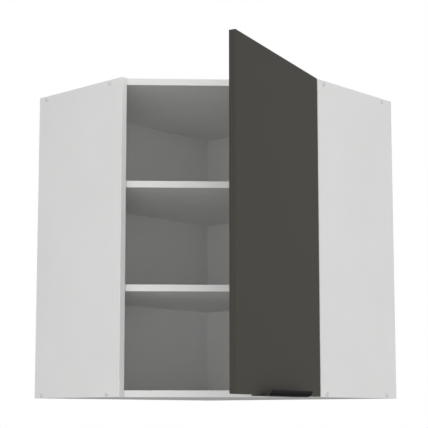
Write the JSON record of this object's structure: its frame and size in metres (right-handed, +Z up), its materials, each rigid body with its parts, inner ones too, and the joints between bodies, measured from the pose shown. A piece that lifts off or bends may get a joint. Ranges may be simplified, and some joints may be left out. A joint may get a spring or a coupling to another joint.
{
  "type": "corner wall cabinet",
  "caption": "Corner wall cabinet with a diagonal front, a hinged dark door with an edge handle, and shelves inside a white carcass.",
  "frame": {"origin": "foot of the inner corner where the two room walls meet, level with the cabinet's underside", "axes": "+Z up; the room walls are the planes x = 0 and y = 0, and the cabinet lies where x and y are negative, with its diagonal front facing -X and -Y"},
  "size_m": [0.7001, 0.7165, 0.7175],
  "materials": {
    "white_board": "white foil, satin",
    "white_thin": "white lacquer, satin",
    "grey_door": "dark grey lacquer, matt",
    "black_handle": "black anodised, satin",
    "white_plastic": "satin",
    "soft_clear": "soft",
    "zinc_steel": "zinc plated",
    "nickel_steel": "nickel plated"
  },
  "bodies": {
    "carcass": {"left_side_panel": "white_board", "right_side_panel": "white_board", "top_panel": "white_board", "bottom_panel": "white_board", "right_back_panel": "white_board", "left_back_panel": "white_thin", "upper_shelf": "white_board", "lower_shelf": "white_board", "corner_screw_1": "zinc_steel", "corner_screw_2": "zinc_steel", "corner_screw_3": "zinc_steel", "corner_screw_4": "zinc_steel", "corner_screw_5": "zinc_steel", "corner_screw_6": "zinc_steel", "corner_screw_7": "zinc_steel", "corner_screw_8": "zinc_steel", "screw_cover_1": "white_plastic", "screw_cover_2": "white_plastic", "screw_cover_3": "white_plastic", "screw_cover_4": "white_plastic", "screw_cover_5": "white_plastic", "screw_cover_6": "white_plastic", "screw_cover_7": "white_plastic", "screw_cover_8": "white_plastic", "shelf_pin_1": "zinc_steel", "shelf_pin_2": "zinc_steel", "shelf_pin_3": "zinc_steel", "shelf_pin_4": "zinc_steel", "shelf_pin_5": "zinc_steel", "shelf_pin_6": "zinc_steel", "shelf_pin_7": "zinc_steel", "shelf_pin_8": "zinc_steel", "left_hanger_housing": "white_plastic", "right_hanger_housing": "white_plastic", "left_hanger_hook": "zinc_steel", "right_hanger_hook": "zinc_steel", "lower_hinge_plate": "nickel_steel", "upper_hinge_plate": "nickel_steel", "lower_hinge_arm": "nickel_steel", "upper_hinge_arm": "nickel_steel", "lower_hinge_screw_low": "zinc_steel", "lower_hinge_screw_high": "zinc_steel", "upper_hinge_screw_low": "zinc_steel", "upper_hinge_screw_high": "zinc_steel"},
    "door": {"door_panel": "grey_door", "edge_handle": "black_handle", "handle_screw_1": "zinc_steel", "handle_screw_2": "zinc_steel", "lower_hinge_cup": "nickel_steel", "upper_hinge_cup": "nickel_steel", "lower_door_stop": "soft_clear", "upper_door_stop": "soft_clear"},
    "outer_levers": {"lower_outer_lever": "nickel_steel", "upper_outer_lever": "nickel_steel"},
    "inner_levers": {"lower_inner_lever": "nickel_steel", "upper_inner_lever": "nickel_steel"},
    "couplers": {"lower_coupler": "nickel_steel", "upper_coupler": "nickel_steel"}
  },
  "joints": [
    {"name": "door_swing", "type": "hinge", "parent": "carcass", "child": "door", "pos_m": [-0.29019, -0.59398, 0.358], "axis": [0, 0, 1], "range_deg": [-60.7, 34.3]},
    {"name": "outer_lever_turn", "type": "hinge", "parent": "carcass", "child": "outer_levers", "pos_m": [-0.2919, -0.5698, 0.358], "axis": [0, 0, 1], "range_deg": [-60.7, 34.3]},
    {"name": "inner_lever_turn", "type": "hinge", "parent": "carcass", "child": "inner_levers", "pos_m": [-0.29137, -0.57728, 0.358], "axis": [0, 0, 1], "range_deg": [-60.7, 34.3]},
    {"name": "coupler_turn", "type": "hinge", "parent": "door", "child": "couplers", "pos_m": [-0.31038, -0.59716, 0.358], "axis": [0, 0, 1], "range_deg": [-34.3, 60.7]}
  ],
  "couplings": [
    {"joint": "outer_lever_turn", "follows": "door_swing", "ratio": 1},
    {"joint": "inner_lever_turn", "follows": "door_swing", "ratio": 1},
    {"joint": "coupler_turn", "follows": "door_swing", "ratio": -1}
  ]
}
